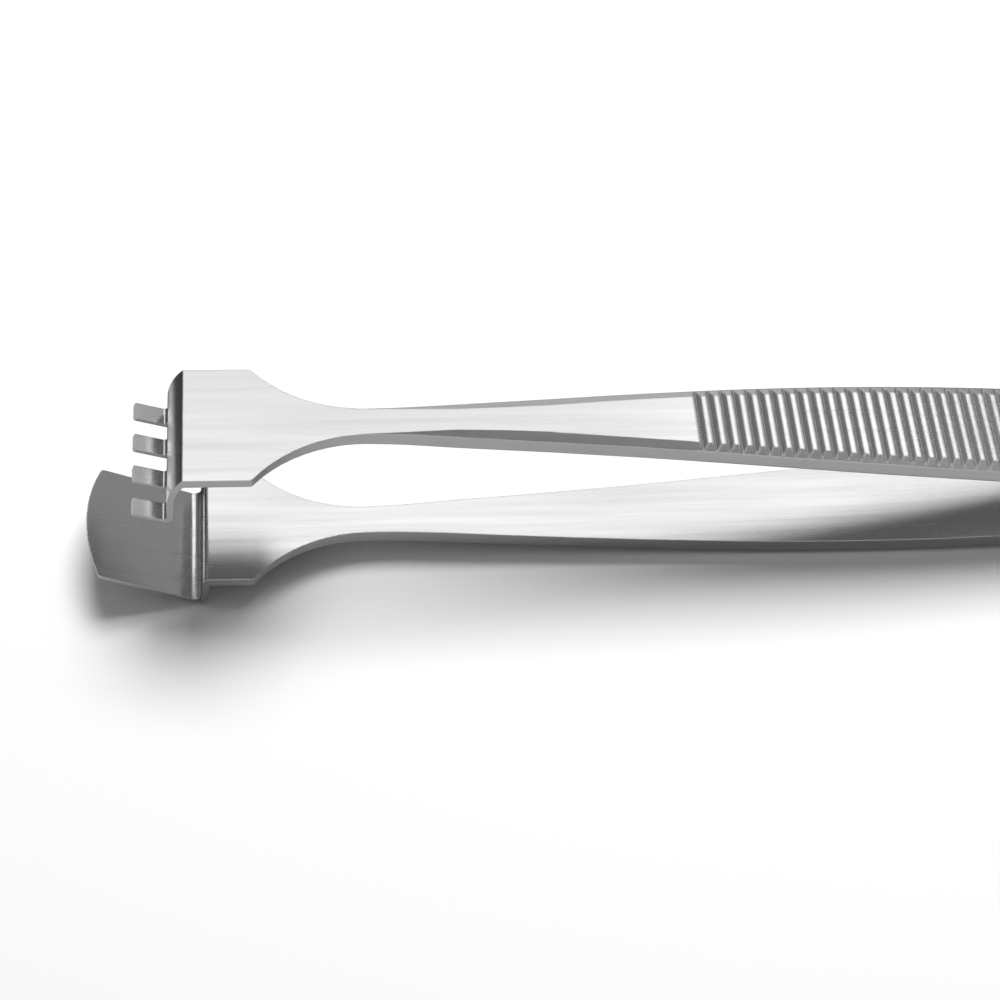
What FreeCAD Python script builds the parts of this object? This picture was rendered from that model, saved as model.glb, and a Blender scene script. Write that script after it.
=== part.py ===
"""Wafer-handling tweezers: two spring-steel arms that meet face to face at the heel.

Both arms share one bar: a flat head, a waisted neck, a grip with cross serrations and
bevelled outer edges, and a heel. The upper arm ends in a comb of four fingers, the
lower arm in a broad rounded paddle. Each arm is drawn in its own frame with its outer
face up (+Z), its length along +X from the paddle's tip, and Z = 0 where the arms meet.
The finished pair lies on its lower arm, origin at the middle of its footprint.
All sizes are in millimetres.
"""
import FreeCAD, Part

import math
import os

import Sketcher

SIZES = (
    # overall
    ("total_length", 142.0, "paddle tip to heel"),
    ("grip_thick", 1.6, "thickness of the grip and heel"),
    ("blank_width", 16.0, "strip width before the outline is cut"),
    # head and neck, side view
    ("head_rise", 7.0, "outer face of the head above the meeting plane"),
    ("head_thick", 0.84, "thickness of the head"),
    ("bow_rise", 7.28, "outer face at the start of the bow"),
    ("bow_start", 33.0, "where the arm starts to bow inward"),
    ("bow_radius", 600.0, "outer radius of the bow"),
    ("land_start", 65.3, "start of the flat land in the bow, on which the pair lies"),
    ("land_end", 76.3, "end of that land"),
    ("bow_end", 108.0, "where the bow turns back towards the heel"),
    # head and neck, plan
    ("head_width", 13.35, "width of the head and comb"),
    ("neck_width", 3.1, "narrowest part of the neck"),
    ("neck_at", 25.2, "where the neck is narrowest"),
    ("neck_radius", 12.8, "radius from the head into the neck"),
    ("flare_radius", 60.0, "radius from the neck into the grip"),
    ("flare_angle", 4.49, "half angle of the widening arm, degrees"),
    ("belly_start", 58.0, "where the straight flare ends"),
    ("belly_radius", 460.0, "radius of the grip's long edges"),
    ("belly_end", 106.0, "where the long edges run on straight to the heel"),
    ("heel_corner", 2.6, "corner radius of the heel"),
    ("head_corner", 0.4, "corner radius where the head meets the neck"),
    # bevels along the outer edges
    ("bevel_fall", 0.3, "fall of the bevel per unit of width"),
    ("bevel_full", 41.0, "where the bevel reaches its full width"),
    ("ridge_neck", 0.32, "ridge of the bevels above the bow's start, at the neck"),
    ("ridge_full", 0.42, "the same at the full width"),
    ("ridge_radius", 450.0, "radius of the ridge over the grip"),
    ("ridge_bow", 3.8, "height of the ridge at the end of the bow"),
    ("heel_start", 123.5, "where the heel is flat"),
    ("ridge_heel", 0.99, "ridge above the heel's face at its start"),
    ("ridge_end", 0.68, "ridge above the heel's face behind its end"),
    ("ridge_turn", 139.0, "radius of the ridge between bow and heel"),
    # serrations
    ("tooth_start", 54.65, "first groove of the grip"),
    ("tooth_step", 1.17, "distance from groove to groove"),
    ("tooth_count", 32, "number of grooves"),
    ("tooth_depth", 0.3, "depth of a groove"),
    ("tooth_front", 0.25, "length of the steep flank"),
    ("tooth_back", 0.55, "length of the shallow flank"),
    # comb end of the upper arm
    ("comb_top", 8.95, "bend where the head turns down"),
    ("comb_foot", 7.52, "foot of the step"),
    ("comb_foot_rise", 1.96, "upper face of the fingers at the foot"),
    ("finger_tip", 4.55, "tips of the fingers"),
    ("finger_lift", 18.5, "upward tilt of the fingers, degrees"),
    ("finger_thick", 0.34, "thickness of the fingers"),
    ("riser_thick", 0.6, "thickness of both steps"),
    ("riser_radius", 5.0, "radius of the comb step's rounded shoulder"),
    ("finger_parts", 7, "equal parts of the comb: four fingers, three gaps"),
    ("finger_corner", 0.25, "corner radius of the finger tips"),
    # paddle end of the lower arm
    ("paddle_top", 10.55, "bend where the head turns away"),
    ("paddle_foot", 10.2, "foot of the step"),
    ("paddle_foot_rise", 9.41, "inner face of the paddle at the foot"),
    ("paddle_lift", 22.9, "tilt of the paddle, degrees"),
    ("paddle_thick", 0.38, "thickness of the paddle"),
    ("paddle_width", 12.8, "width of the paddle"),
    ("paddle_radius", 17.5, "radius of the paddle's end in plan"),
    ("paddle_corner", 0.4, "corner radius of the paddle's end"),
    # bend radii
    ("comb_crease", 0.3, "radius of the crease between head and comb step"),
    ("comb_bend", 0.6, "radius under the foot of the comb step"),
    ("paddle_crease", 0.5, "radius of the crease between head and paddle step"),
    ("paddle_bend", 0.7, "radius in the foot of the paddle step"),
    ("inner_bend", 0.3, "radius of the other inside bends"),
    # how the pair lies
    ("rest_tilt", 3.588, "heel-down tilt of the pair at rest, degrees"),
)

doc = FreeCAD.newDocument("Tweezers")
sheet = doc.addObject("Spreadsheet::Sheet", "Sheet")
for row, (alias, number, note) in enumerate(SIZES, start=1):
    sheet.set("A%d" % row, note)
    sheet.set("B%d" % row, str(number))
    sheet.setAlias("B%d" % row, alias)
doc.recompute()
probe = doc.addObject("App::FeaturePython", "Probe")

SIDE, PLAN = "XZ_Plane", "XY_Plane"

# the corner where the head's straight side meets the neck's radius
CORNER = ("Sheet.neck_at - sqrt(Sheet.neck_radius^2 - (Sheet.neck_radius"
          " - (Sheet.head_width - Sheet.neck_width) / 2)^2)")


def value(text):
    """The number that an expression over the sheet's cells gives."""
    return float(probe.evalExpression(text))


def sketch_on(body, name, plane):
    """A sketch on one of the body's own origin planes."""
    sketch = body.newObject("Sketcher::SketchObject", name)
    for feature in body.Origin.OriginFeatures:
        if feature.Role == plane:
            sketch.AttachmentSupport = [(feature, "")]
    sketch.MapMode = "FlatFace"
    return sketch


def line(start, end, smooth=False):
    """A straight piece of an outline; a smooth one runs on into the next piece."""
    ends = FreeCAD.Vector(*start, 0), FreeCAD.Vector(*end, 0)
    return Part.LineSegment(*ends), 1, 2, smooth


def arc(centre, start, end, clockwise=False, smooth=False):
    """An arc of an outline about a centre, from start to end."""
    radius = math.dist(centre, start)
    angles = [math.atan2(p[1] - centre[1], p[0] - centre[0]) for p in (start, end)]
    if clockwise:
        angles.reverse()
    circle = Part.Circle(FreeCAD.Vector(*centre, 0), FreeCAD.Vector(0, 0, 1), radius)
    first, last = (2, 1) if clockwise else (1, 2)
    return Part.ArcOfCircle(circle, *angles), first, last, smooth


def bulge(start, end, radius, clockwise=True, smooth=False):
    """A shallow arc between two points, centred below them, or above if not clockwise."""
    half = math.dist(start, end) / 2
    rise = math.sqrt(radius ** 2 - half ** 2)
    across = ((end[0] - start[0]) / (2 * half), (end[1] - start[1]) / (2 * half))
    side = -1 if clockwise else 1
    middle = ((start[0] + end[0]) / 2, (start[1] + end[1]) / 2)
    centre = (middle[0] - side * rise * across[1], middle[1] + side * rise * across[0])
    return arc(centre, start, end, clockwise, smooth)


def outline(sketch, pieces):
    """Draws a closed outline and joins the end of each piece to the next one."""
    joints = []
    for geometry, first, last, smooth in pieces:
        joints.append((sketch.addGeometry(geometry, False), first, last, smooth))
    for here, after in zip(joints, joints[1:] + joints[:1]):
        kind = "Tangent" if here[3] else "Coincident"
        rule(sketch, kind, here[0], here[2], after[0], after[1])
    return joints


def rule(sketch, kind, *where):
    """A geometric rule of a sketch."""
    return sketch.addConstraint(Sketcher.Constraint(kind, *where))


def size(sketch, kind, *where, to):
    """A dimension of a sketch that follows an expression over the sheet."""
    number = value(to)
    if kind == "Angle":
        number = math.radians(number)
    index = rule(sketch, kind, *where, number)
    sketch.setExpression("Constraints[%d]" % index, to)


def pin(sketch, joint, x=None, y=None):
    """Fixes the start of an outline's piece by its distances from the origin."""
    if x:
        size(sketch, "DistanceX", -1, 1, joint[0], joint[1], to=x)
    if y:
        size(sketch, "DistanceY", -1, 1, joint[0], joint[1], to=y)


def cut_through(body, name, sketch):
    """A pocket through everything on both sides of its sketch."""
    pocket = body.newObject("PartDesign::Pocket", name)
    pocket.Profile = sketch
    pocket.SideType = "Symmetric"
    pocket.Type = "ThroughAll"
    doc.recompute()
    return pocket


def repeat(body, kind, name, feature):
    """A mirror or pattern of one feature, made the body's latest shape."""
    copy = body.newObject(kind, name)
    copy.Originals = [feature]
    body.Tip = copy
    return copy


def mirror(body, name, feature):
    """Repeats a feature on the other side of the arm's middle plane."""
    copy = repeat(body, "PartDesign::Mirrored", name, feature)
    for plane in body.Origin.OriginFeatures:
        if plane.Role == SIDE:
            copy.MirrorPlane = (plane, [""])
    doc.recompute()
    return copy


def round_edges(body, name, radius, *tests):
    """A fillet on each edge of the body whose two ends pass one of the tests."""
    base = body.Tip
    names = []
    for index, edge in enumerate(base.Shape.Edges, start=1):
        ends = [vertex.Point for vertex in edge.Vertexes]
        if len(ends) == 2 and any(test(*ends) for test in tests):
            names.append("Edge%d" % index)
    if not names:
        raise RuntimeError("no edges for " + name)
    fillet = body.newObject("PartDesign::Fillet", name)
    fillet.Base = (base, names)
    fillet.setExpression("Radius", radius)
    doc.recompute()
    return fillet


def crosswise(x, z, near=0.02):
    """A test for an edge that runs across the arm through the side-view point x, z."""
    spot = (value(x), value(z))

    def test(a, b):
        return all(math.dist((p.x, p.z), spot) < near for p in (a, b))
    return test


def upright(x, near=0.02):
    """A test for an edge through the thickness at a place x along the arm."""
    place = value(x)

    def test(a, b):
        return abs(a.x - place) < near and abs(b.x - place) < near and abs(a.y - b.y) < near
    return test


def bar_profile(sketch, tip):
    """Side view of an arm. The tip is the run of points round its working end, from the
    underside of the head to its outer face, each given by two expressions. A point where
    a curved piece begins also gives its radius and whether it runs clockwise."""
    start, end = value("Sheet.bow_start"), value("Sheet.bow_end")
    rise, thick = value("Sheet.bow_rise"), value("Sheet.grip_thick")
    outer, total = value("Sheet.bow_radius"), value("Sheet.total_length")
    centre = (start, rise - outer)

    def angle_at(place):
        return math.asin((place - start) / outer)

    def on_bow(angle, radius):
        return centre[0] + radius * math.sin(angle), centre[1] + radius * math.cos(angle)

    # the bow runs into a counter-arc that ends level with the heel
    lean, inner = angle_at(end), outer - thick
    land = angle_at(value("Sheet.land_start")), angle_at(value("Sheet.land_end"))
    counter = (outer * math.cos(lean) + centre[1] - thick) / (1 - math.cos(lean))
    heel = on_bow(lean, outer + counter)
    heel_top, heel_low = (heel[0], thick), (heel[0], 0.0)
    head_top = (value(CORNER), value("Sheet.head_rise"))
    head_low = (value(CORNER), value("Sheet.head_rise - Sheet.head_thick"))
    run = [head_low] + [(value(spot[0]), value(spot[1])) for spot in tip] + [head_top]
    pieces = [line(run[0], run[1])]
    for spot, here, after in zip(tip, run[1:], run[2:]):
        if len(spot) == 4:
            pieces.append(bulge(here, after, value(spot[2]), clockwise=spot[3]))
        else:
            pieces.append(line(here, after))
    pieces += [
        line(head_top, (start, rise)),
        arc(centre, (start, rise), on_bow(land[0], outer), clockwise=True),
        line(on_bow(land[0], outer), on_bow(land[1], outer)),
        arc(centre, on_bow(land[1], outer), on_bow(lean, outer), clockwise=True, smooth=True),
        arc(heel, on_bow(lean, outer), heel_top, smooth=True),
        line(heel_top, (total, thick)),
        line((total, thick), (total, 0.0)),
        line((total, 0.0), heel_low, smooth=True),
        arc(heel, heel_low, on_bow(lean, inner), clockwise=True, smooth=True),
        arc(centre, on_bow(lean, inner), on_bow(land[1], inner)),
        line(on_bow(land[1], inner), on_bow(land[0], inner)),
        arc(centre, on_bow(land[0], inner), (start, rise - thick)),
        line((start, rise - thick), head_low),
    ]
    joints = outline(sketch, pieces)
    count = len(run) - 1
    taper, bow, flat, rear_bow, counter_arc = joints[count:count + 5]
    heel_line, heel_end, heel_base = joints[count + 5:count + 8]
    low_counter, low_rear, low_flat, low_bow, low_taper = joints[count + 8:]
    shrink = "(Sheet.bow_radius - Sheet.grip_thick) / Sheet.bow_radius"
    pin(sketch, joints[0], CORNER, "Sheet.head_rise - Sheet.head_thick")
    for joint, spot in zip(joints[1:count], tip):
        pin(sketch, joint, spot[0], spot[1])
        if len(spot) == 4:
            size(sketch, "Radius", joint[0], to=spot[2])
    pin(sketch, taper, CORNER, "Sheet.head_rise")
    pin(sketch, bow, "Sheet.bow_start", "Sheet.bow_rise")
    pin(sketch, flat, "Sheet.land_start")
    pin(sketch, rear_bow, "Sheet.land_end")
    pin(sketch, low_flat, f"Sheet.bow_start + (Sheet.land_end - Sheet.bow_start) * {shrink}")
    pin(sketch, low_bow, f"Sheet.bow_start + (Sheet.land_start - Sheet.bow_start) * {shrink}")
    pin(sketch, counter_arc, "Sheet.bow_end")
    pin(sketch, heel_end, "Sheet.total_length", "Sheet.grip_thick")
    size(sketch, "Radius", bow[0], to="Sheet.bow_radius")
    rule(sketch, "Equal", bow[0], rear_bow[0])
    rule(sketch, "Equal", low_bow[0], low_rear[0])
    rule(sketch, "Coincident", rear_bow[0], 3, bow[0], 3)
    rule(sketch, "Coincident", low_rear[0], 3, bow[0], 3)
    rule(sketch, "Vertical", bow[0], 3, bow[0], bow[1])
    rule(sketch, "Horizontal", heel_line[0])
    rule(sketch, "Vertical", heel_end[0])
    rule(sketch, "Horizontal", heel_base[0])
    rule(sketch, "PointOnObject", heel_base[0], 1, -1)
    rule(sketch, "Coincident", low_bow[0], 3, bow[0], 3)
    rule(sketch, "Coincident", low_counter[0], 3, counter_arc[0], 3)
    rule(sketch, "Vertical", low_bow[0], 3, low_bow[0], low_bow[2])


def plan_waste(sketch):
    """Plan view of what is cut away beside the arm, on the +Y side."""
    half_head, half_neck = value("Sheet.head_width / 2"), value("Sheet.neck_width / 2")
    neck, radius = value("Sheet.neck_at"), value("Sheet.neck_radius")
    flare, belly = value("Sheet.flare_radius"), value("Sheet.belly_radius")
    angle = math.radians(value("Sheet.flare_angle"))
    belly_x, far = value("Sheet.belly_start"), value("Sheet.total_length + 4")
    edge, ahead = value("Sheet.blank_width"), -value("Sheet.paddle_foot")
    flare_end = (neck + flare * math.sin(angle), half_neck + flare * (1 - math.cos(angle)))
    belly_y = flare_end[1] + (belly_x - flare_end[0]) * math.tan(angle)
    centre = (belly_x + belly * math.sin(angle), belly_y - belly * math.cos(angle))
    tail_x = value("Sheet.belly_end")
    tail_y = centre[1] + math.sqrt(belly ** 2 - (tail_x - centre[0]) ** 2)
    end = (far, tail_y - (far - tail_x) * (tail_x - centre[0]) / (tail_y - centre[1]))
    corner = (value(CORNER), half_head)
    pieces = [
        line((ahead, edge), (ahead, half_head)),
        line((ahead, half_head), corner),
        arc((neck, half_neck + radius), corner, (neck, half_neck)),
        arc((neck, half_neck + flare), (neck, half_neck), flare_end, smooth=True),
        line(flare_end, (belly_x, belly_y), smooth=True),
        arc(centre, (belly_x, belly_y), (tail_x, tail_y), clockwise=True, smooth=True),
        line((tail_x, tail_y), end),
        line(end, (far, edge)),
        line((far, edge), (ahead, edge)),
    ]
    joints = outline(sketch, pieces)
    left, head, neck_arc, flare_arc, flank, belly_arc, tail, right, back = joints
    rule(sketch, "Vertical", left[0])
    rule(sketch, "Horizontal", head[0])
    rule(sketch, "Vertical", right[0])
    rule(sketch, "Horizontal", back[0])
    pin(sketch, left, "-Sheet.paddle_foot", "Sheet.blank_width")
    pin(sketch, neck_arc, None, "Sheet.head_width / 2")
    pin(sketch, flare_arc, "Sheet.neck_at", "Sheet.neck_width / 2")
    rule(sketch, "Vertical", neck_arc[0], 3, flare_arc[0], flare_arc[1])
    rule(sketch, "Vertical", flare_arc[0], 3, flare_arc[0], flare_arc[1])
    size(sketch, "Radius", neck_arc[0], to="Sheet.neck_radius")
    size(sketch, "Radius", flare_arc[0], to="Sheet.flare_radius")
    size(sketch, "Angle", flank[0], to="Sheet.flare_angle * 1deg")
    pin(sketch, belly_arc, "Sheet.belly_start")
    pin(sketch, tail, "Sheet.belly_end")
    size(sketch, "Radius", belly_arc[0], to="Sheet.belly_radius")
    size(sketch, "DistanceX", -1, 1, right[0], right[1], to="Sheet.total_length + 4")


def bevel_waste(sketch):
    """Side view of what is cut above the ridge where the two bevels would meet."""
    front, behind = "Sheet.neck_at - 1", "Sheet.total_length + 4"
    top = "Sheet.bow_rise + Sheet.blank_width"
    spots = [
        (front, "Sheet.bow_rise + Sheet.ridge_neck"),
        ("Sheet.bevel_full", "Sheet.bow_rise + Sheet.ridge_full"),
        ("Sheet.bow_end", "Sheet.ridge_bow"),
        ("Sheet.heel_start", "Sheet.grip_thick + Sheet.ridge_heel"),
        (behind, "Sheet.grip_thick + Sheet.ridge_end"),
        (behind, top),
        (front, top),
    ]
    points = [(value(x), value(z)) for x, z in spots]
    pieces = [
        line(points[0], points[1]),
        bulge(points[1], points[2], value("Sheet.ridge_radius")),
        bulge(points[2], points[3], value("Sheet.ridge_turn"), clockwise=False),
        line(points[3], points[4]),
        line(points[4], points[5]),
        line(points[5], points[6]),
        line(points[6], points[0]),
    ]
    joints = outline(sketch, pieces)
    for joint, (x, z) in zip(joints, spots):
        pin(sketch, joint, x, z)
    size(sketch, "Radius", joints[1][0], to="Sheet.ridge_radius")
    size(sketch, "Radius", joints[2][0], to="Sheet.ridge_turn")


def cut_bevels(body, name):
    """The two long bevels: the waste above the ridge, swept sideways and down."""
    sketch = sketch_on(body, name + "_ridge", SIDE)
    bevel_waste(sketch)
    bevel = body.newObject("PartDesign::Pocket", name + "_bevel")
    bevel.Profile = sketch
    bevel.UseCustomVector = True
    bevel.Direction = FreeCAD.Vector(0, 1, -value("Sheet.bevel_fall"))
    bevel.setExpression("Direction.z", "-Sheet.bevel_fall")
    bevel.Type = "Length"
    bevel.AlongSketchNormal = True
    bevel.setExpression("Length", "Sheet.blank_width")
    doc.recompute()
    mirror(body, name + "_other_bevel", bevel)


def cut_teeth(body, name):
    """Cross grooves of the grip, spaced round the centre of the bow."""
    sketch = sketch_on(body, name + "_tooth", SIDE)
    sketch.setExpression("AttachmentOffset.Base.x", "Sheet.bow_start")
    sketch.setExpression("AttachmentOffset.Base.y", "Sheet.bow_rise - Sheet.bow_radius")
    sketch.setExpression("AttachmentOffset.Rotation.Angle",
                         "-asin((Sheet.tooth_start - Sheet.bow_start) / Sheet.bow_radius)")
    lip = "Sheet.bow_radius + Sheet.tooth_depth"
    spots = [
        ("-2 * Sheet.tooth_front", lip),
        (None, "Sheet.bow_radius - Sheet.tooth_depth"),
        ("2 * Sheet.tooth_back", lip),
    ]
    points = [(value(x) if x else 0.0, value(z)) for x, z in spots]
    pieces = [line(a, b) for a, b in zip(points, points[1:] + points[:1])]
    joints = outline(sketch, pieces)
    for joint, (x, z) in zip(joints, spots):
        pin(sketch, joint, x, z)
    rule(sketch, "PointOnObject", joints[1][0], joints[1][1], -2)
    groove = cut_through(body, name + "_groove", sketch)
    teeth = repeat(body, "PartDesign::PolarPattern", name + "_teeth", groove)
    teeth.Axis = (sketch, ["N_Axis"])
    teeth.Reversed = True
    teeth.setExpression("Angle", "(Sheet.tooth_count - 1) * Sheet.tooth_step"
                                 " / Sheet.bow_radius * 180deg / pi")
    teeth.setExpression("Occurrences", "Sheet.tooth_count")
    doc.recompute()


def box_outline(sketch, x_low, x_high, y_low, y_high):
    """A rectangle whose sides follow four expressions."""
    lows, highs = (value(x_low), value(y_low)), (value(x_high), value(y_high))
    corners = [lows, (highs[0], lows[1]), highs, (lows[0], highs[1])]
    pieces = [line(a, b) for a, b in zip(corners, corners[1:] + corners[:1])]
    joints = outline(sketch, pieces)
    rule(sketch, "Horizontal", joints[0][0])
    rule(sketch, "Vertical", joints[1][0])
    rule(sketch, "Horizontal", joints[2][0])
    rule(sketch, "Vertical", joints[3][0])
    pin(sketch, joints[0], x_low, y_low)
    pin(sketch, joints[2], x_high, y_high)


def build_arm(name, tip, bends):
    """An arm up to its working end: strip, bends, outline, bevels and serrations."""
    body = doc.addObject("PartDesign::Body", name)
    body.Label = name
    profile = sketch_on(body, name + "_profile", SIDE)
    bar_profile(profile, tip)
    strip = body.newObject("PartDesign::Pad", name + "_strip")
    strip.Profile = profile
    strip.SideType = "Symmetric"
    strip.setExpression("Length", "Sheet.blank_width")
    doc.recompute()
    for number, (radius, spots) in enumerate(bends, start=1):
        tests = [crosswise(spot[0], spot[1]) for spot in spots]
        round_edges(body, "%s_bend_%d" % (name, number), radius, *tests)
    plan = sketch_on(body, name + "_plan", PLAN)
    plan_waste(plan)
    trim = cut_through(body, name + "_trim", plan)
    mirror(body, name + "_other_trim", trim)
    round_edges(body, name + "_shoulders", "Sheet.head_corner", upright(CORNER))
    round_edges(body, name + "_heel", "Sheet.heel_corner", upright("Sheet.total_length"))
    cut_bevels(body, name)
    cut_teeth(body, name)
    return body


def comb_points():
    """Side view of the comb end, from under the head round the fingers to the outer
    face: each point's distance along the arm and height, as expressions. The step runs
    straight up from the fingers' foot and rounds over towards the head above the brow."""
    tilt = "Sheet.finger_lift * 1deg"
    under = "(Sheet.head_rise - Sheet.head_thick)"
    lean = "(Sheet.riser_radius - Sheet.comb_top + Sheet.comb_foot)"
    brow = f"(Sheet.head_rise - sqrt(Sheet.riser_radius^2 - {lean}^2))"
    inner = "(Sheet.riser_radius - Sheet.riser_thick)"
    back = "(Sheet.comb_foot + Sheet.riser_thick)"
    sink = f"(Sheet.finger_thick / cos({tilt}) + tan({tilt}) * Sheet.riser_thick)"
    rise = f"Sheet.comb_foot_rise + tan({tilt}) * (Sheet.comb_foot - Sheet.finger_tip)"
    return {
        "under": (f"{back} + {inner} - sqrt({inner}^2 - ({under} - {brow})^2)",
                  under, inner, False),
        "back_brow": (back, brow),
        "heel": (back, f"Sheet.comb_foot_rise - {sink}"),
        "low_tip": (f"Sheet.finger_tip - sin({tilt}) * Sheet.finger_thick",
                    f"{rise} - cos({tilt}) * Sheet.finger_thick"),
        "tip": ("Sheet.finger_tip", rise),
        "foot": ("Sheet.comb_foot", "Sheet.comb_foot_rise"),
        "brow": ("Sheet.comb_foot", brow, "Sheet.riser_radius", True),
        "top": ("Sheet.comb_top", "Sheet.head_rise"),
    }


def paddle_points():
    """Side view of the paddle end, from the inner face round the tip to the outer face.
    The tip stands past X = 0 here, where the rounded end is cut later."""
    tilt = "Sheet.paddle_lift * 1deg"
    under = "(Sheet.head_rise - Sheet.head_thick)"
    lean = f"((Sheet.paddle_top - Sheet.paddle_foot) / (Sheet.paddle_foot_rise - {under}))"
    back = f"(Sheet.riser_thick * sqrt(1 + {lean}^2))"
    thick = f"Sheet.paddle_thick / cos({tilt})"
    climb = f"(({thick} + tan({tilt}) * {back}) / (1 + tan({tilt}) * {lean}))"
    reach = "(Sheet.paddle_foot + Sheet.paddle_corner)"
    return {
        "top": ("Sheet.paddle_top", under),
        "foot": ("Sheet.paddle_foot", "Sheet.paddle_foot_rise"),
        "tip": ("-Sheet.paddle_corner", f"Sheet.paddle_foot_rise - tan({tilt}) * {reach}"),
        "outer_tip": ("-Sheet.paddle_corner",
                      f"Sheet.paddle_foot_rise + {thick} - tan({tilt}) * {reach}"),
        "heel": (f"Sheet.paddle_foot + {back} - {lean} * {climb}",
                 f"Sheet.paddle_foot_rise + {climb}"),
        "outer": (f"Sheet.paddle_top + {back} - {lean} * Sheet.head_thick",
                  "Sheet.head_rise"),
    }


def build_upper():
    """The upper arm, whose end is slotted into four fingers."""
    points = comb_points()
    bends = [
        ("Sheet.comb_crease", [points["top"]]),
        ("Sheet.comb_bend", [points["heel"]]),
        ("Sheet.inner_bend", [points["foot"], points["under"]]),
    ]
    body = build_arm("upper_arm", list(points.values()), bends)
    slot_plan = sketch_on(body, "slot_plan", PLAN)
    share = "Sheet.head_width / Sheet.finger_parts"
    box_outline(slot_plan, "Sheet.finger_tip - 2", "Sheet.comb_foot + 0.1",
                f"-2.5 * {share}", f"-1.5 * {share}")
    slot = cut_through(body, "slot", slot_plan)
    slots = repeat(body, "PartDesign::LinearPattern", "slots", slot)
    slots.Direction = (slot_plan, ["V_Axis"])
    slots.setExpression("Length", f"4 * {share}")
    slots.Occurrences = 3
    doc.recompute()
    tip_x = value("Sheet.finger_tip")

    def finger_edge(a, b):
        return max(a.x, b.x) < tip_x + 0.02 and abs(a.y - b.y) < 0.01

    round_edges(body, "finger_corners", "Sheet.finger_corner", finger_edge)
    return body


def build_lower():
    """The lower arm, whose end is a broad paddle with a rounded edge."""
    points = paddle_points()
    bends = [
        ("Sheet.paddle_crease", [points["top"]]),
        ("Sheet.paddle_bend", [points["foot"]]),
        ("Sheet.paddle_bend + Sheet.paddle_thick", [points["heel"]]),
        ("Sheet.inner_bend", [points["outer"]]),
    ]
    body = build_arm("lower_arm", list(points.values()), bends)
    end = sketch_on(body, "paddle_plan", PLAN)
    radius, small = value("Sheet.paddle_radius"), value("Sheet.paddle_corner")
    half, edge = value("Sheet.paddle_width / 2"), value("Sheet.paddle_width / 2 + 2")
    foot = value("Sheet.paddle_foot")
    along = math.sqrt((radius - small) ** 2 - (half - small) ** 2)
    scale = radius / (radius - small)
    touch = (radius - along * scale, (half - small) * scale)
    side = (radius - along, half)
    pieces = [
        arc((side[0], half - small), side, touch, smooth=True),
        arc((radius, 0.0), touch, (touch[0], -touch[1]), smooth=True),
        arc((side[0], small - half), (touch[0], -touch[1]), (side[0], -half), smooth=True),
        line((side[0], -half), (foot, -half)),
        line((foot, -half), (foot, -edge)),
        line((foot, -edge), (-foot, -edge)),
        line((-foot, -edge), (-foot, edge)),
        line((-foot, edge), (foot, edge)),
        line((foot, edge), (foot, half)),
        line((foot, half), side, smooth=True),
    ]
    joints = outline(end, pieces)
    corner, bow, low_corner, low_side, low_stop, low, ahead, high, stop, high_side = joints
    size(end, "Radius", bow[0], to="Sheet.paddle_radius")
    size(end, "DistanceX", -1, 1, bow[0], 3, to="Sheet.paddle_radius")
    rule(end, "PointOnObject", bow[0], 3, -1)
    for piece in (corner, low_corner):
        size(end, "Radius", piece[0], to="Sheet.paddle_corner")
    for piece in (low_side, low, high, high_side):
        rule(end, "Horizontal", piece[0])
    for piece in (low_stop, ahead, stop):
        rule(end, "Vertical", piece[0])
    pin(end, corner, None, "Sheet.paddle_width / 2")
    pin(end, low_stop, "Sheet.paddle_foot", "-Sheet.paddle_width / 2")
    pin(end, ahead, "-Sheet.paddle_foot", "-Sheet.paddle_width / 2 - 2")
    pin(end, high, None, "Sheet.paddle_width / 2 + 2")
    pin(end, stop, "Sheet.paddle_foot")
    cut_through(body, "paddle_end", end)
    return body


arms = [build_upper(), build_lower()]
doc.recompute()

# the pair lies on its lower arm, which is turned face down, tilted towards the heel
tilt = FreeCAD.Rotation(FreeCAD.Vector(0, 1, 0), value("Sheet.rest_tilt"))
turn = FreeCAD.Rotation(FreeCAD.Vector(1, 0, 0), 180)
for arm, rotation in zip(arms, (tilt, tilt.multiply(turn))):
    arm.Placement = FreeCAD.Placement(FreeCAD.Vector(0, 0, 0), rotation)
doc.recompute()
box = FreeCAD.BoundBox()
for arm in arms:
    box.add(arm.Shape.optimalBoundingBox())
shift = FreeCAD.Vector(-box.Center.x, -box.Center.y, -box.ZMin)
for arm in arms:
    arm.Placement = FreeCAD.Placement(shift, arm.Placement.Rotation)
doc.recompute()

for item in doc.Objects:
    if "Invalid" in item.State or "Error" in item.State:
        raise RuntimeError("%s is %s" % (item.Name, item.State))
for arm in arms:
    if arm.Shape.isNull() or not arm.Shape.isValid() or len(arm.Shape.Solids) != 1:
        raise RuntimeError("%s has no valid solid" % arm.Label)

os.makedirs("parts", exist_ok=True)
for arm in arms:
    arm.Shape.exportStep("parts/%s.step" % arm.Label)
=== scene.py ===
"""Looks and studio for a pair of wafer tweezers in satin brushed spring steel.

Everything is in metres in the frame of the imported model: the pair lies on z = 0 with its
length along X and its heads towards -X. The frame is loaded first, and each operator then
makes or dresses one group of pieces.
"""

import math

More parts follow.
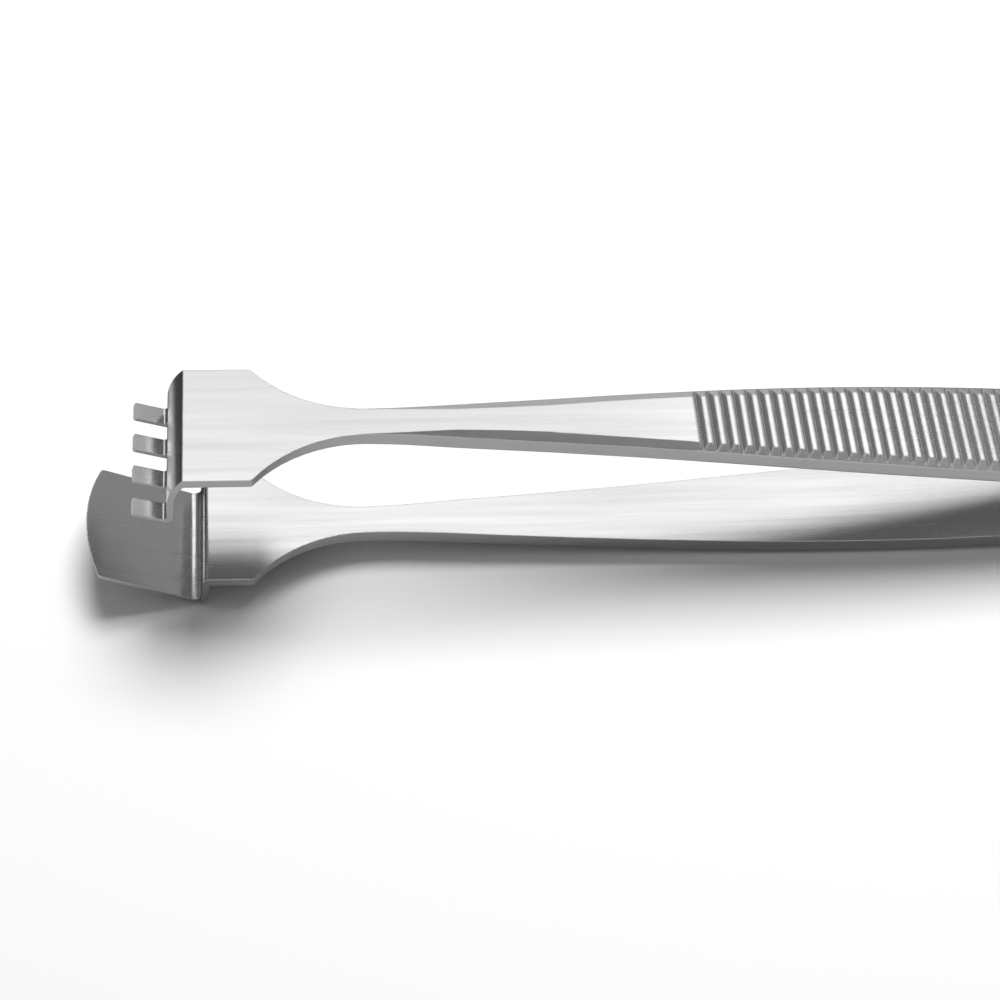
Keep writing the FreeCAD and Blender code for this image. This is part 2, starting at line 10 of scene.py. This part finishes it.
import bpy
from bpy.props import FloatProperty, FloatVectorProperty, PointerProperty
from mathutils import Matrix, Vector

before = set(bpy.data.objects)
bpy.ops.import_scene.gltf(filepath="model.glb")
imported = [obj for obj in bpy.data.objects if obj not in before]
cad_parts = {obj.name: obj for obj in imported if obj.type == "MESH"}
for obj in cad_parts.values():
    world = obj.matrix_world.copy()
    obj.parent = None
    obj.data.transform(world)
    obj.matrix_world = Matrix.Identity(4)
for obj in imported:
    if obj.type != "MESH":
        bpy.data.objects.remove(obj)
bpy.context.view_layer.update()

bl_info = {
    "name": "Wafer Tweezers",
    "version": (1, 0, 0),
    "blender": (4, 5, 0),
    "location": "View3D > Sidebar > Tweezers",
    "description": "Dresses a pair of wafer tweezers in brushed steel and sets up a studio",
    "category": "Object",
}

ARMS = ("upper_arm", "lower_arm")

# The values between which the noise of the grain mostly lies.
NOISE_RANGE = (0.3, 0.7)

# Soft round lamps that only the metal reflects: the direction to the lamp, the angles in
# degrees at which it is gone and at which it is full, and its brightness.
LAMPS = (
    ((0.05, 0.95, 0.3), 25, 12, 0.65),
    ((-0.5, 0.62, 0.6), 20, 8, 0.2),
    ((-0.3, -0.85, 0.4), 60, 25, 1.0),
)


class SteelSettings(bpy.types.PropertyGroup):
    """Finish of the satin steel."""

    color: FloatVectorProperty(
        name="Steel colour", description="Colour of the polished metal",
        subtype="COLOR", size=3, min=0, max=1, default=(0.62, 0.62, 0.615))
    roughness: FloatProperty(
        name="Roughness", description="Roughness of the satin finish",
        subtype="FACTOR", min=0, max=1, default=0.26)
    stretch: FloatProperty(
        name="Stretch", description="How far highlights stretch across the brush lines",
        subtype="FACTOR", min=0, max=1, default=0.75)
    stretch_axis: FloatVectorProperty(
        name="Stretch axis", description="Direction in which highlights stretch",
        subtype="DIRECTION", size=3, default=(0.0, 0.8, 0.6))
    grain_spacing: FloatProperty(
        name="Grain spacing", description="Distance between brush lines",
        subtype="DISTANCE", unit="LENGTH", min=0.00005, default=0.0003)
    grain_length: FloatProperty(
        name="Grain length", description="Length of one brush line",
        subtype="DISTANCE", unit="LENGTH", min=0.001, default=0.014)
    grain_depth: FloatProperty(
        name="Grain depth", description="Depth of the brush lines",
        subtype="DISTANCE", unit="LENGTH", min=0, default=0.0000006)
    grain_tilt: FloatProperty(
        name="Grain tilt", description="How far the arms' middle line is turned about Y",
        subtype="ANGLE", unit="ROTATION", default=math.radians(3.588))
    grain_shear: FloatProperty(
        name="Grain shear", description="How far height moves a brush line sideways",
        min=0, default=0.25)
    grain_tone: FloatProperty(
        name="Grain tone", description="Share of the colour left in the darker brush lines",
        subtype="FACTOR", min=0, max=1, default=0.94)
    grain_rough: FloatVectorProperty(
        name="Grain roughness", description="Share of the roughness in dark and light lines",
        size=2, min=0, default=(1.1, 0.93))
    # Painted shade: these settings darken the steel's colour in grooves and inner corners, where
    # shade falls, through an occlusion mask.
    painted_shade_reach: FloatProperty(
        name="Hollow reach", description="How wide a groove or inner corner darkens",
        subtype="DISTANCE", unit="LENGTH", min=0, default=0.0004)
    painted_shade_tone: FloatProperty(
        name="Hollow tone", description="Share of the colour left in a deep hollow",
        subtype="FACTOR", min=0, max=1, default=0.12)
    painted_shade_range: FloatVectorProperty(
        name="Hollow range", description="Openness of a deep hollow and of a plain face",
        size=2, min=0, max=1, default=(0.35, 0.95))
    edge_radius: FloatProperty(
        name="Edge radius", description="Radius of the softened edges",
        subtype="DISTANCE", unit="LENGTH", min=0, default=0.0001)
    tooth_radius: FloatProperty(
        name="Tooth radius", description="Radius of the softened edges of the serrations",
        subtype="DISTANCE", unit="LENGTH", min=0, default=0.00024)
    grip_range: FloatVectorProperty(
        name="Grip range", description="Where the serrations start and end along X",
        subtype="XYZ", unit="LENGTH", size=2, default=(-0.0166, 0.0212))
    grip_floor: FloatProperty(
        name="Grip floor", description="Height above which the serrations are softened",
        subtype="DISTANCE", unit="LENGTH", default=0.0068)
    grip_fade: FloatProperty(
        name="Grip fade", description="Length over which one radius gives way to the other",
        subtype="DISTANCE", unit="LENGTH", min=0.00001, default=0.0004)


class StudioSettings(bpy.types.PropertyGroup):
    """Floor, lights and camera."""

    floor_reach: FloatProperty(
        name="Floor reach", description="How far the floor runs to each side",
        subtype="DISTANCE", unit="LENGTH", min=0.5, default=3.0)
    floor_color: FloatVectorProperty(
        name="Floor colour", description="Colour of the floor",
        subtype="COLOR", size=3, min=0, max=1, default=(0.99, 0.99, 0.99))
    # Painted reflection: the floor colours below are seen only in reflections, and paint the shade
    # that the metal shows.
    painted_front_reflection: FloatVectorProperty(
        name="Front bounce", description="Colour that the floor in front gives to the metal",
        subtype="COLOR", size=3, min=0, max=1, default=(0.55, 0.55, 0.55))
    painted_back_reflection: FloatVectorProperty(
        name="Back bounce", description="Colour that the floor behind gives to the metal",
        subtype="COLOR", size=3, min=0, max=1, default=(0.06, 0.06, 0.06))
    painted_reflection_edge: FloatVectorProperty(
        name="Bounce edge", description="Where the front bounce fades to the back one, along Y",
        subtype="XYZ", unit="LENGTH", size=2, default=(-0.005, 0.006))
    painted_patch_side: FloatVectorProperty(
        name="Patch side", description="Where front bounce starts beside the heads, along X",
        subtype="XYZ", unit="LENGTH", size=2, default=(-0.07, -0.074))
    painted_patch_depth: FloatVectorProperty(
        name="Patch depth", description="Where front bounce beside the heads starts, along Y",
        subtype="XYZ", unit="LENGTH", size=2, default=(0.04, 0.025))
    key_power: FloatProperty(
        name="Key power", description="Power of the soft lamp above the object",
        subtype="POWER", unit="POWER", min=0, default=2.65)
    key_size: FloatProperty(
        name="Key size", description="Side of the soft lamp",
        subtype="DISTANCE", unit="LENGTH", min=0.01, default=0.3)
    key_place: FloatVectorProperty(
        name="Key place", description="Middle of the soft lamp",
        subtype="XYZ", unit="LENGTH", size=3, default=(0.04, 0.2, 0.46))
    fill: FloatProperty(
        name="Fill", description="Brightness of the even light from all round",
        min=0, default=0.22)
    camera_place: FloatVectorProperty(
        name="Camera place", description="Where the camera stands",
        subtype="XYZ", unit="LENGTH", size=3, default=(-0.043288, -0.175826, 0.202427))
    camera_turn: FloatVectorProperty(
        name="Camera turn", description="How the camera is turned",
        subtype="EULER", unit="ROTATION", size=3,
        default=(math.radians(41.675), math.radians(0.610), math.radians(-3.842)))
    camera_lens: FloatProperty(
        name="Focal length", description="Focal length of the camera, in millimetres",
        min=1, default=104.71)
    camera_clip: FloatVectorProperty(
        name="Camera clip", description="Nearest and farthest distance that the camera sees",
        subtype="XYZ", unit="LENGTH", size=2, default=(0.01, 20.0))


class SkySettings(bpy.types.PropertyGroup):
    """What the metal reflects. Places are parts of a unit direction: side is X, depth is Y."""

    base: FloatVectorProperty(
        name="Base", description="Brightness at the far left and elsewhere",
        size=2, min=0, default=(0.05, 0.06))
    base_edge: FloatVectorProperty(
        name="Base edge", description="Side between which the base changes",
        size=2, default=(-0.65, -0.25))
    right: FloatProperty(
        name="Right", description="Brightness added at the right",
        min=0, default=0.27)
    right_edge: FloatVectorProperty(
        name="Right edge", description="Side at which the right starts and is full",
        size=2, default=(0.3, 0.52))
    panel: FloatProperty(
        name="Panel", description="Brightness of the tall soft panel behind the object",
        min=0, default=3.0)
    panel_top: FloatVectorProperty(
        name="Panel top", description="Height at which the panel starts to fade and is gone",
        size=2, default=(0.825, 0.945))
    panel_foot: FloatVectorProperty(
        name="Panel foot", description="Height at which the panel starts and is full",
        size=2, default=(0.69, 0.765))
    panel_left: FloatVectorProperty(
        name="Panel left", description="Side at which the panel starts and is full, at the left",
        size=2, default=(-0.4, -0.15))
    panel_right: FloatVectorProperty(
        name="Panel right", description="Side at which the panel starts and is full, at the right",
        size=2, default=(0.48, 0.39))
    panel_depth: FloatVectorProperty(
        name="Panel depth", description="Depth at which the panel starts and is full",
        size=2, default=(0.3, 0.45))
    lean_start: FloatProperty(
        name="Lean start", description="Side past which the panel's foot sinks",
        default=0.17)
    lean: FloatProperty(
        name="Lean", description="How fast the panel's foot sinks past that side",
        min=0, default=0.6)


def add_node(tree, kind, **values):
    """A new node of a tree, with its own fields set to the values."""
    node = tree.nodes.new(kind)
    for name, value in values.items():
        setattr(node, name, value)
    return node


def feed(tree, node, socket, value):
    """Joins another node's output to a socket, or sets the socket's own value."""
    if isinstance(value, bpy.types.NodeSocket):
        tree.links.new(value, node.inputs[socket])
    else:
        node.inputs[socket].default_value = value


def combine(tree, operation, first, second=0.0, third=0.0):
    """The output of a Math node."""
    node = add_node(tree, "ShaderNodeMath", operation=operation)
    for index, value in enumerate((first, second, third)):
        feed(tree, node, index, value)
    return node.outputs[0]


def shift_range(tree, value, source, target=(0.0, 1.0), kind="LINEAR"):
    """The output of a Map Range node, from the source pair to the target pair."""
    node = add_node(tree, "ShaderNodeMapRange", interpolation_type=kind)
    for name, number in (("Value", value), ("From Min", source[0]), ("From Max", source[1]),
                         ("To Min", target[0]), ("To Max", target[1])):
        feed(tree, node, name, number)
    return node.outputs["Result"]


def soft_step(tree, value, source, target=(0.0, 1.0)):
    """A range that starts and ends gently."""
    return shift_range(tree, value, source, target, kind="SMOOTHSTEP")


def blend_colors(tree, share, first, second):
    """The output of a colour Mix node between two colours or sockets."""
    node = add_node(tree, "ShaderNodeMix", data_type="RGBA")
    feed(tree, node, "Factor", share)
    for index, color in ((6, first), (7, second)):
        if not isinstance(color, bpy.types.NodeSocket):
            color = (*color, 1.0)
        feed(tree, node, index, color)
    return node.outputs[2]


def blend_values(tree, share, first, second):
    """The output of a Mix node between two numbers or sockets."""
    node = add_node(tree, "ShaderNodeMix", data_type="FLOAT")
    for name, value in (("Factor", share), ("A", first), ("B", second)):
        feed(tree, node, name, value)
    return node.outputs[0]


def split_axes(tree, vector):
    """The X, Y and Z outputs of a vector."""
    node = add_node(tree, "ShaderNodeSeparateXYZ")
    feed(tree, node, 0, vector)
    return tuple(node.outputs)


def brushed_grain():
    """A node group: brush lines that run along X, as a height and as a tone."""
    group = bpy.data.node_groups.new("Brushed grain", "ShaderNodeTree")
    face = group.interface
    face.new_socket("Vector", in_out="INPUT", socket_type="NodeSocketVector")
    for name in ("Spacing", "Length", "Shear"):
        face.new_socket(name, in_out="INPUT", socket_type="NodeSocketFloat")
    for name in ("Height", "Tone"):
        face.new_socket(name, in_out="OUTPUT", socket_type="NodeSocketFloat")
    start = add_node(group, "NodeGroupInput")
    end = add_node(group, "NodeGroupOutput")
    per_length = combine(group, "DIVIDE", 1.0, start.outputs["Length"])
    per_spacing = combine(group, "DIVIDE", 1.0, start.outputs["Spacing"])
    along, side, up = split_axes(group, start.outputs["Vector"])
    across = combine(group, "MULTIPLY_ADD", up, start.outputs["Shear"], side)

    def lines(length_share, spacing_share, detail):
        place = add_node(group, "ShaderNodeCombineXYZ")
        for axis, value, scale, share in ((0, along, per_length, length_share),
                                          (1, across, per_spacing, spacing_share)):
            scaled = combine(group, "MULTIPLY", scale, share)
            feed(group, place, axis, combine(group, "MULTIPLY", value, scaled))
        noise = add_node(group, "ShaderNodeTexNoise", noise_dimensions="2D")
        for name, value in (("Vector", place.outputs[0]), ("Scale", 1.0), ("Detail", detail)):
            feed(group, noise, name, value)
        return noise.outputs["Fac"]

    fine, broad = lines(1.0, 1.0, 3.0), lines(0.5, 0.25, 2.0)
    feed(group, end, "Height", combine(group, "MULTIPLY_ADD", broad, 0.6, fine))
    feed(group, end, "Tone", combine(group, "MULTIPLY_ADD", broad, 0.7,
                                     combine(group, "MULTIPLY", fine, 0.3)))
    return group


def softened_edges(tree, place, settings):
    """A normal with rounded edges, rounder on the upper arm's serrations."""
    along, _, up = split_axes(tree, place)
    start, end = settings.grip_range
    floor, fade = settings.grip_floor, settings.grip_fade
    share = shift_range(tree, along, (start, start + fade))
    for value, source in ((along, (end, end - fade)), (up, (floor, floor + fade))):
        share = combine(tree, "MULTIPLY", share, shift_range(tree, value, source))
    radii = (settings.edge_radius, settings.tooth_radius)
    edges = add_node(tree, "ShaderNodeBevel", samples=4)
    feed(tree, edges, "Radius", shift_range(tree, share, (0.0, 1.0), radii))
    return edges.outputs[0]


def steel_material(name, settings, grain):
    """Satin steel: grain along the arms in its tone, its roughness and its bump, and painted shade
    darkening its grooves and inner corners.
    """
    material = bpy.data.materials.new(name)
    material.use_nodes = True
    tree = material.node_tree
    surface = tree.nodes["Principled BSDF"]
    place = add_node(tree, "ShaderNodeTexCoord").outputs["Object"]
    turned = add_node(tree, "ShaderNodeMapping")
    feed(tree, turned, "Vector", place)
    feed(tree, turned, "Rotation", (0.0, -settings.grain_tilt, 0.0))
    lines = add_node(tree, "ShaderNodeGroup", node_tree=grain)
    for socket, value in (("Vector", turned.outputs[0]), ("Spacing", settings.grain_spacing),
                          ("Length", settings.grain_length), ("Shear", settings.grain_shear)):
        feed(tree, lines, socket, value)

    steel = Vector(settings.color)
    tone = blend_colors(tree, shift_range(tree, lines.outputs["Tone"], NOISE_RANGE),
                        steel * settings.grain_tone, steel)
    # Painted shade: the colour is darkened where the occlusion mask finds grooves and inner
    # corners.
    hollow = add_node(tree, "ShaderNodeAmbientOcclusion", only_local=True, samples=6)
    feed(tree, hollow, "Distance", settings.painted_shade_reach)
    open_share = shift_range(tree, hollow.outputs["AO"], settings.painted_shade_range)
    tone = blend_colors(tree, open_share, steel * settings.painted_shade_tone, tone)
    rough = shift_range(tree, lines.outputs["Tone"], NOISE_RANGE,
                        [settings.roughness * share for share in settings.grain_rough])

    bump = add_node(tree, "ShaderNodeBump")
    for socket, value in (("Normal", softened_edges(tree, place, settings)),
                          ("Height", lines.outputs["Height"]),
                          ("Distance", settings.grain_depth), ("Strength", 1.0)):
        feed(tree, bump, socket, value)
    tangent = add_node(tree, "ShaderNodeCombineXYZ")
    for axis, value in enumerate(settings.stretch_axis):
        feed(tree, tangent, axis, value)
    for socket, value in (("Base Color", tone), ("Roughness", rough), ("Metallic", 1.0),
                          ("Normal", bump.outputs[0]), ("Tangent", tangent.outputs[0]),
                          ("Anisotropic", settings.stretch)):
        feed(tree, surface, socket, value)
    return material


def lamp_spot(tree, direction, toward, wide, narrow):
    """A soft spot of the sky: 1 within the narrow angle of a direction, 0 past the wide."""
    dot = add_node(tree, "ShaderNodeVectorMath", operation="DOT_PRODUCT")
    feed(tree, dot, 0, direction)
    feed(tree, dot, 1, Vector(toward).normalized())
    edge = [math.cos(math.radians(angle)) for angle in (wide, narrow)]
    return soft_step(tree, dot.outputs["Value"], edge)


def reflected_sky(tree, direction, sky):
    """The brightness that the metal reflects: a base, a right side, a panel and lamps."""
    side, depth, height = split_axes(tree, direction)
    past = combine(tree, "MAXIMUM", combine(tree, "SUBTRACT", side, sky.lean_start), 0.0)
    slant = combine(tree, "MULTIPLY_ADD", past, sky.lean, height)
    panel = soft_step(tree, height, sky.panel_top, (sky.panel, 0.0))
    for value, edge in ((slant, sky.panel_foot), (side, sky.panel_right),
                        (side, sky.panel_left), (depth, sky.panel_depth)):
        panel = combine(tree, "MULTIPLY", panel, soft_step(tree, value, edge))
    level = soft_step(tree, side, sky.base_edge, sky.base)
    right = soft_step(tree, side, sky.right_edge, (0.0, sky.right))
    level = combine(tree, "ADD", combine(tree, "ADD", level, right), panel)
    for toward, wide, narrow, strength in LAMPS:
        spot = lamp_spot(tree, direction, toward, wide, narrow)
        level = combine(tree, "MULTIPLY_ADD", spot, strength, level)
    return level


class TWEEZERS_OT_arms(bpy.types.Operator):
    """Dress both arms in brushed steel"""

    bl_idname = "tweezers.arms"
    bl_label = "Arms"

    def execute(self, context):
        settings = context.scene.tweezers_steel
        material = steel_material("Satin steel", settings, brushed_grain())
        for name in ARMS:
            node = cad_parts[name]
            node.data.materials.clear()
            node.data.materials.append(material)
            shading = node.modifiers.new("Shading", "WEIGHTED_NORMAL")
            shading.mode, shading.weight = "FACE_AREA", 100
        return {"FINISHED"}


class TWEEZERS_OT_studio(bpy.types.Operator):
    """Set up the floor, the lights and the camera"""

    bl_idname = "tweezers.studio"
    bl_label = "Studio"

    def execute(self, context):
        scene = context.scene
        settings = scene.tweezers_studio
        self.lay_floor(scene, settings)
        self.hang_lamp(scene, settings)
        self.paint_sky(scene, settings, scene.tweezers_sky)
        self.place_camera(scene, settings)
        scene.view_settings.view_transform = "Standard"
        return {"FINISHED"}

    def lay_floor(self, scene, settings):
        """A flat pale floor under the object. The metal reflects it darker than it looks: to all
        rays but the camera's its colour is painted grey in front, near black behind and grey
        beside the heads, a painted reflection of shade.
        """
        reach = settings.floor_reach
        corners = [(-reach, -reach, 0), (reach, -reach, 0), (reach, reach, 0), (-reach, reach, 0)]
        mesh = bpy.data.meshes.new("Floor")
        mesh.from_pydata(corners, [], [(0, 1, 2, 3)])
        floor = bpy.data.objects.new("Floor", mesh)
        scene.collection.objects.link(floor)
        material = bpy.data.materials.new("Floor paper")
        material.use_nodes = True
        tree = material.node_tree
        surface = tree.nodes["Principled BSDF"]
        side, depth, _ = split_axes(tree, add_node(tree, "ShaderNodeTexCoord").outputs["Object"])
        # Painted reflection: the floor's colour for reflected rays is grey in front, near black
        # behind and grey beside the heads, standing in for shade that the metal reflects.
        bounce = blend_colors(tree, shift_range(tree, depth, settings.painted_reflection_edge),
                              settings.painted_front_reflection, settings.painted_back_reflection)
        patch = combine(tree, "MULTIPLY", shift_range(tree, side, settings.painted_patch_side),
                        shift_range(tree, depth, settings.painted_patch_depth))
        bounce = blend_colors(tree, patch, bounce, settings.painted_front_reflection)
        shown = add_node(tree, "ShaderNodeLightPath").outputs["Is Camera Ray"]
        feed(tree, surface, "Base Color", blend_colors(tree, shown, bounce, settings.floor_color))
        feed(tree, surface, "Roughness", 1.0)
        feed(tree, surface, "Specular IOR Level", 0.0)
        mesh.materials.append(material)

    def hang_lamp(self, scene, settings):
        """A soft square lamp above and behind the object, aimed at its middle."""
        data = bpy.data.lights.new("Key", "AREA")
        data.energy, data.size = settings.key_power, settings.key_size
        lamp = bpy.data.objects.new("Key", data)
        lamp.location = settings.key_place
        lamp.rotation_euler = (-lamp.location).to_track_quat("-Z", "Y").to_euler()
        lamp.visible_glossy = False
        scene.collection.objects.link(lamp)

    def paint_sky(self, scene, settings, sky):
        """White to the camera, an even fill for the floor, and soft panels in the metal."""
        world = bpy.data.worlds.new("Studio")
        scene.world = world
        world.use_nodes = True
        tree = world.node_tree
        ray = add_node(tree, "ShaderNodeLightPath").outputs
        direction = add_node(tree, "ShaderNodeTexCoord").outputs["Generated"]
        level = blend_values(tree, ray["Is Glossy Ray"], settings.fill,
                             reflected_sky(tree, direction, sky))
        level = blend_values(tree, ray["Is Camera Ray"], level, 1.0)
        feed(tree, tree.nodes["Background"], "Color", (1, 1, 1, 1))
        feed(tree, tree.nodes["Background"], "Strength", level)

    def place_camera(self, scene, settings):
        """The camera that fits the photo's view."""
        data = bpy.data.cameras.new("Camera")
        data.lens = settings.camera_lens
        data.clip_start, data.clip_end = settings.camera_clip
        camera = bpy.data.objects.new("Camera", data)
        camera.location = settings.camera_place
        camera.rotation_euler = settings.camera_turn
        scene.collection.objects.link(camera)
        scene.camera = camera


class TWEEZERS_PT_panel(bpy.types.Panel):
    """Sizes, finishes and operators of the tweezers"""

    bl_label = "Wafer Tweezers"
    bl_idname = "TWEEZERS_PT_panel"
    bl_space_type = "VIEW_3D"
    bl_region_type = "UI"
    bl_category = "Tweezers"

    def draw(self, context):
        scene = context.scene
        for group in (scene.tweezers_steel, scene.tweezers_studio, scene.tweezers_sky):
            box = self.layout.box()
            for name in group.bl_rna.properties.keys():
                if name not in ("rna_type", "name"):
                    box.prop(group, name)
        for operator in OPERATORS:
            self.layout.operator(operator.bl_idname)


OPERATORS = (TWEEZERS_OT_arms, TWEEZERS_OT_studio)
CLASSES = (SteelSettings, StudioSettings, SkySettings, *OPERATORS, TWEEZERS_PT_panel)


def register():
    for item in CLASSES:
        bpy.utils.register_class(item)
    bpy.types.Scene.tweezers_steel = PointerProperty(type=SteelSettings)
    bpy.types.Scene.tweezers_studio = PointerProperty(type=StudioSettings)
    bpy.types.Scene.tweezers_sky = PointerProperty(type=SkySettings)


def unregister():
    del bpy.types.Scene.tweezers_sky
    del bpy.types.Scene.tweezers_studio
    del bpy.types.Scene.tweezers_steel
    for item in reversed(CLASSES):
        bpy.utils.unregister_class(item)


def main():
    """Registers the classes and makes everything."""
    register()
    bpy.ops.tweezers.arms()
    bpy.ops.tweezers.studio()


if __name__ == "__main__":
    main()
